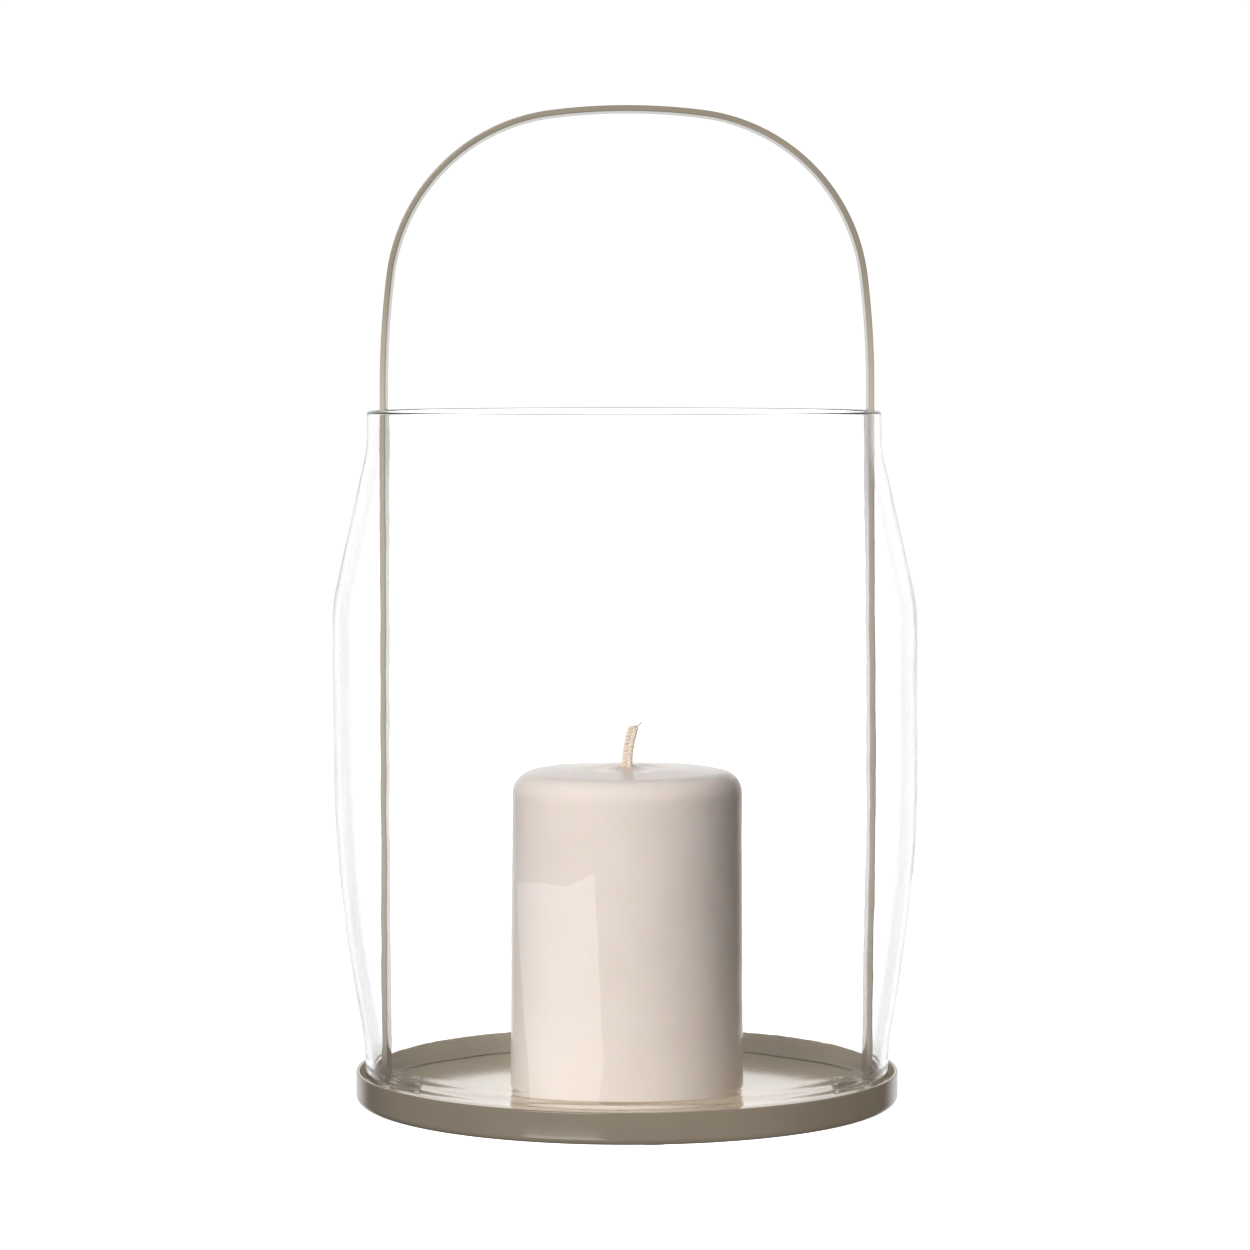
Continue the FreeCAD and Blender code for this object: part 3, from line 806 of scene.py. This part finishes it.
def make_floor():
    """A plain floor that the eye sees as white, as a strongly lit sweep of paper is."""
    material, tree, shader = new_material("floor")
    fleck = noise_value(tree, 3, 2)
    tree.links.new(blend_colours(tree, fleck, *FLOOR_TONES), shader.inputs["Base Color"])
    shader.inputs["Roughness"].default_value = 0.9
    shader.inputs["Specular IOR Level"].default_value = 0
    shader.inputs["Emission Color"].default_value = (*WHITE, 1)
    path = tree.nodes.new("ShaderNodeLightPath")
    glow = remap(tree, path.outputs["Is Camera Ray"], 0, 1, FLOOR_GLOW, BACKDROP)
    tree.links.new(glow, shader.inputs["Emission Strength"])
    floor = lathe("floor", [Vector((0, 0)), Vector((FLOOR_RADIUS, 0))], 64, material)
    floor.location.z = -0.2 * MM
    floor.visible_diffuse = floor.visible_glossy = floor.visible_transmission = False


def direction_share(tree, direction, near, far):
    """1 where the world is looked at within near degrees of a direction, 0 beyond far degrees."""
    ray = tree.nodes.new("ShaderNodeTexCoord")
    dot = tree.nodes.new("ShaderNodeVectorMath")
    dot.operation = "DOT_PRODUCT"
    tree.links.new(ray.outputs["Generated"], dot.inputs[0])
    dot.inputs[1].default_value = Vector(direction).normalized()
    low, high = math.cos(math.radians(far)), math.cos(math.radians(near))
    soft = remap(tree, dot.outputs["Value"], low, high, 0, 1)
    soft.node.interpolation_type = "SMOOTHSTEP"
    return soft


def sum_of_shares(tree, level, shares):
    """A level, plus or minus an amount round each (direction, near, far, amount)."""
    total = level
    for direction, near, far, amount in shares:
        share = direction_share(tree, direction, near, far)
        total = combine(tree, "ADD", combine(tree, "MULTIPLY", share, amount), total)
    return total


def make_world():
    """White to the eye, with levels of its own for each way that light is looked for.

    Mirror images see a white backdrop, pale sides and a pale front below. What is seen through
    the glass is white all round and dark straight below, which draws the lines of its rim. Matt
    surfaces get a low even light, so that the key shapes them, and less of it inside the glass."""
    world = bpy.data.worlds.new("studio")
    scene.world = world
    world.use_nodes = True
    world.cycles.sampling_method = "NONE"
    tree = world.node_tree
    background = tree.nodes["Background"]
    mirrored = sum_of_shares(tree, 0.1, [
        ((0, 1, 0), 22, 42, 1.3),
        ((-1, -0.2, 0), 20, 75, 0.15),
        ((1, 0.1, 0), 20, 75, 0.1),
        ((0, -0.6, -1), 30, 80, 0.45),
    ])
    seen_through = sum_of_shares(tree, 0.1, [
        ((0, 0, -1), 108, 130, 1.3),
        ((0, 0, -1), 48, 66, -1.3),
    ])
    lit = sum_of_shares(tree, 0.2, [
        ((0, 0, 1), 20, 80, 0.1),
        ((1, -0.8, 0), 20, 80, 0.5),
        ((0, -0.5, -1), 20, 80, 0.2),
        ((0, 1, 0), 20, 70, 0.3),
    ])
    lit_inside = sum_of_shares(tree, 0.03, [
        ((0, 0, 1), 20, 80, 0.14),
        ((0, -1, 0.1), 10, 60, 0.45),
        ((0, 1, 0.3), 10, 50, 0.7),
    ])

    path = tree.nodes.new("ShaderNodeLightPath")
    to_eye = path.outputs["Is Camera Ray"]
    through = path.outputs["Is Transmission Ray"]

    def before_any(depth):
        return combine(tree, "LESS_THAN", path.outputs[depth], 0.5)

    not_mirrored = before_any("Glossy Depth")
    edge = mix_values(tree, before_any("Transmission Depth"), 1.0, EDGE_LEVEL / BEHIND)
    scale = mix_values(tree, not_mirrored, edge, BACKDROP / BEHIND)
    clear = combine(tree, "MULTIPLY", mix_values(tree, not_mirrored, mirrored, seen_through), scale)
    matt = mix_values(tree, through, lit, lit_inside)
    sharp = combine(tree, "MAXIMUM", through, path.outputs["Is Glossy Ray"])
    sharp = combine(tree, "MULTIPLY", sharp, before_any("Diffuse Depth"))
    strength = mix_values(tree, to_eye, mix_values(tree, sharp, matt, clear), BACKGROUND)
    tree.links.new(strength, background.inputs["Strength"])
    uncoloured = combine(tree, "MAXIMUM", sharp, to_eye)
    tree.links.new(blend_colours(tree, uncoloured, WARM, WHITE), background.inputs["Color"])


def add_lamp(name, azimuth_angle, height_angle, power):
    """A square softbox that aims at the middle of the glass.

    Azimuth 0 is the front and below 0 is the left; the height is an angle from the level."""
    azimuth, rise = math.radians(azimuth_angle), math.radians(height_angle)
    away = Vector((math.sin(azimuth) * math.cos(rise), -math.cos(azimuth) * math.cos(rise),
                   math.sin(rise)))
    lamp = bpy.data.objects.new(name, bpy.data.lights.new(name, "AREA"))
    lamp.data.shape = "SQUARE"
    lamp.data.size = KEY_SIZE
    lamp.data.energy = power
    lamp.location = LAMP_AIM + away * KEY_DISTANCE
    lamp.rotation_euler = away.to_track_quat("Z", "Y").to_euler()
    lamp.visible_camera = False
    lamp.visible_transmission = False
    scene.collection.objects.link(lamp)
    return lamp


def make_lights():
    """The key gives matt light only; its mirror images come from two weaker lamps."""
    add_lamp("key", KEY_AZIMUTH, KEY_HEIGHT, KEY_POWER).visible_glossy = False
    above = add_lamp("key_image", IMAGE_AZIMUTH, IMAGE_HEIGHT, IMAGE_POWER)
    below = add_lamp("key_in_table", IMAGE_AZIMUTH, -IMAGE_HEIGHT, TABLE_IMAGE_POWER)
    above.visible_diffuse = below.visible_diffuse = False


def add_inner_fill(piece):
    """A lamp inside the lantern that lights only this piece. It stands for light off the candle
    and the glass."""
    lamp = bpy.data.objects.new("inner_fill", bpy.data.lights.new("inner_fill", "POINT"))
    lamp.data.energy = INNER_FILL_POWER
    lamp.data.shadow_soft_size = INNER_FILL_RADIUS
    lamp.location = (0, 0, INNER_FILL_HEIGHT)
    lamp.visible_camera = lamp.visible_glossy = lamp.visible_transmission = False
    scene.collection.objects.link(lamp)
    reached = bpy.data.collections.new("reached_by_inner_fill")
    reached.objects.link(piece)
    lamp.light_linking.receiver_collection = reached
    lamp.light_linking.blocker_collection = reached


# ---------------------------------------------------------------- build

make_camera()
scene.view_settings.view_transform = "Standard"
make_world()
make_lights()
make_floor()

coat = make_coat()
tray = make_tray(coat)
place(tray, "tray", "stand")
handle = make_handle(coat)
for screw in ("foot_screw_left", "foot_screw_right"):
    drill(handle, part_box(screw))
place(handle, "handle_band", "stand")
add_inner_fill(tray)
place(make_glass(make_glass_material()), "glass_shade", "glass")
place(make_candle(make_wax()), "candle_body", "candle")
place(make_wick(make_cotton()), "candle_wick", "candle")

# The pieces that keep their CAD solids get a finish by the start of their name.
finishes = {
    "foot_screw": make_metal("screw_steel", (0.33, 0.33, 0.32), (0.5, 0.5, 0.48), 0.35),
    "base_pad": make_rubber(),
    "wick_sustainer": make_metal("tinplate", (0.52, 0.52, 0.5), (0.68, 0.68, 0.65), 0.2),
}
for name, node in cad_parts.items():
    for start, finish in finishes.items():
        if name.startswith(start):
            for number in range(len(node.material_slots)):
                node.material_slots[number].material = finish
